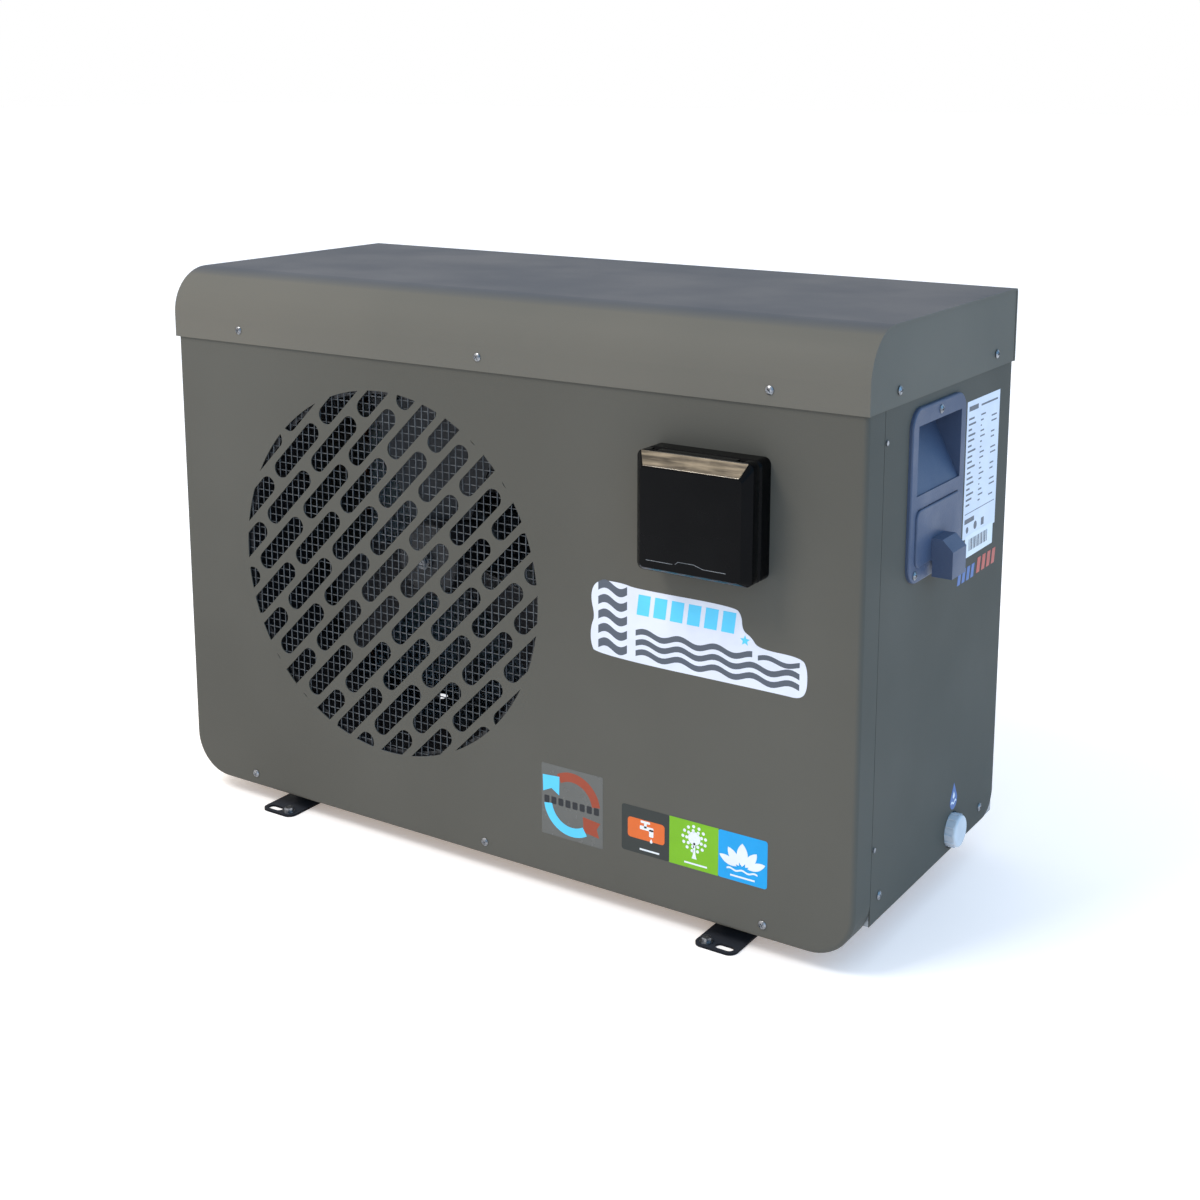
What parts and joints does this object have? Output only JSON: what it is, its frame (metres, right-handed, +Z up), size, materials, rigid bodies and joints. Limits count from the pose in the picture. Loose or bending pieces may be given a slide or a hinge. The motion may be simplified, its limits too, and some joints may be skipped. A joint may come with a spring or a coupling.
{
  "type": "pool heat pump unit",
  "caption": "Pool heat pump: grey sheet steel case with a slotted round fan grille, black flip-lid controller, side finger grips, channel feet and rear water unions.",
  "frame": {"origin": "on the ground, midway between the four foot slots", "axes": "+X to the right seen from the front, +Y from front to rear, +Z up"},
  "size_m": [0.8984, 0.4567, 0.6235],
  "materials": {
    "case_paint": "warm grey powder coat with a fine orange peel",
    "cover_paint": "warm grey powder coat with a fine orange peel",
    "foot_paint": "black powder coat, half matt",
    "galvanised": "galvanised sheet, dull",
    "mesh_wire": "blue-grey plastic-coated wire",
    "grip_plastic": "blue-grey moulded plastic, satin",
    "gloss_black": "black glossy moulded plastic",
    "strip": "bronze-tinted reflective strip",
    "display_glass": "dark clear display window",
    "button_rubber": "light grey silicone",
    "fin_aluminium": "blue hydrophilic coated fins",
    "copper": "drawn copper, slightly dull",
    "brass": "machined brass",
    "compressor_black": "black enamel, half gloss",
    "black_rubber": "black moulded rubber",
    "black_plastic": "black moulded plastic, satin",
    "white_plastic": "white moulded plastic",
    "union_plastic": "dark grey moulded plastic",
    "socket_plastic": "grey moulded plastic",
    "titanium": "drawn titanium tube",
    "screw_steel": "bright zinc plating",
    "fan_plastic": "glass-filled moulded plastic, dark grey",
    "motor_steel": "grey enamel",
    "board_green": "green circuit board"
  },
  "bodies": {
    "case": {"accumulator": "compressor_black", "base_pan": "galvanised", "box_lid": "galvanised", "cable_gland": "black_plastic", "case_screws": "screw_steel", "circuit_board": "board_green", "compressor": "compressor_black", "compressor_bolts": "screw_steel", "compressor_grommets": "black_rubber", "controller_housing": "gloss_black", "display": "display_glass", "electrical_box": "galvanised", "evaporator_fins": "fin_aluminium", "evaporator_tubes": "copper", "exchanger_base": "black_plastic", "exchanger_coil": "titanium", "expansion_valve": "brass", "fan_motor": "motor_steel", "fan_shroud": "black_plastic", "filter_drier": "copper", "flow_switch": "black_plastic", "foot_bolts": "screw_steel", "front_panel": "case_paint", "gas_pipes": "copper", "guard_mesh": "mesh_wire", "heat_exchanger": "union_plastic", "left_foot_rail": "foot_paint", "left_grip_plate": "grip_plastic", "left_side_panel": "case_paint", "liquid_pipe": "copper", "motor_bracket": "galvanised", "partition_plate": "galvanised", "plate_screws": "screw_steel", "rear_guard": "foot_paint", "rear_panel": "case_paint", "reversing_valve": "brass", "right_foot_rail": "foot_paint", "right_grip_plate": "grip_plastic", "right_side_panel": "case_paint", "rivets": "screw_steel", "run_capacitor": "white_plastic", "terminal_block": "white_plastic", "top_cover": "cover_paint", "union_gaskets": "black_rubber", "union_sockets": "socket_plastic", "wiring_cover": "grip_plastic"},
    "fan": {"fan": "fan_plastic", "fan_shaft": "screw_steel", "fan_nut": "screw_steel"},
    "lid": {"lid": "gloss_black", "lid_strip": "strip", "lid_pins": "screw_steel"},
    "power_button": {"power_button": "button_rubber"},
    "mode_button": {"mode_button": "button_rubber"},
    "down_button": {"down_button": "button_rubber"},
    "up_button": {"up_button": "button_rubber"},
    "inlet_nut": {"inlet_nut": "union_plastic"},
    "outlet_nut": {"outlet_nut": "union_plastic"},
    "drain_cap": {"drain_cap": "white_plastic"},
    "flow_paddle": {"flow_paddle": "white_plastic"}
  },
  "joints": [
    {"name": "fan_spin", "type": "hinge", "parent": "case", "child": "fan", "pos_m": [-0.131, -0.0785, 0.309], "axis": [0, 1, 0], "continuous": true},
    {"name": "lid_flip", "type": "hinge", "parent": "case", "child": "lid", "pos_m": [0.274, -0.2065, 0.4935], "axis": [-1, 0, 0], "range_deg": [0, 105]},
    {"name": "power_press", "type": "slide", "parent": "case", "child": "power_button", "axis": [0, 1, 0], "range_m": [0, 0.001], "stiffness_N_per_m": 800, "springref_m": -0.0005},
    {"name": "mode_press", "type": "slide", "parent": "case", "child": "mode_button", "axis": [0, 1, 0], "range_m": [0, 0.001], "stiffness_N_per_m": 800, "springref_m": -0.0005},
    {"name": "down_press", "type": "slide", "parent": "case", "child": "down_button", "axis": [0, 1, 0], "range_m": [0, 0.001], "stiffness_N_per_m": 800, "springref_m": -0.0005},
    {"name": "up_press", "type": "slide", "parent": "case", "child": "up_button", "axis": [0, 1, 0], "range_m": [0, 0.001], "stiffness_N_per_m": 800, "springref_m": -0.0005},
    {"name": "inlet_nut_turn", "type": "hinge", "parent": "case", "child": "inlet_nut", "pos_m": [0.334, 0.1965, 0.15], "axis": [0, 1, 0], "continuous": true},
    {"name": "outlet_nut_turn", "type": "hinge", "parent": "case", "child": "outlet_nut", "pos_m": [0.334, 0.1965, 0.43], "axis": [0, 1, 0], "continuous": true},
    {"name": "drain_cap_turn", "type": "hinge", "parent": "case", "child": "drain_cap", "pos_m": [0.434, 0.0595, 0.065], "axis": [1, 0, 0], "range_deg": [0, 540]},
    {"name": "flow_paddle_swing", "type": "hinge", "parent": "case", "child": "flow_paddle", "pos_m": [0.334, 0.1495, 0.167], "axis": [-1, 0, 0], "range_deg": [0, 30]}
  ]
}
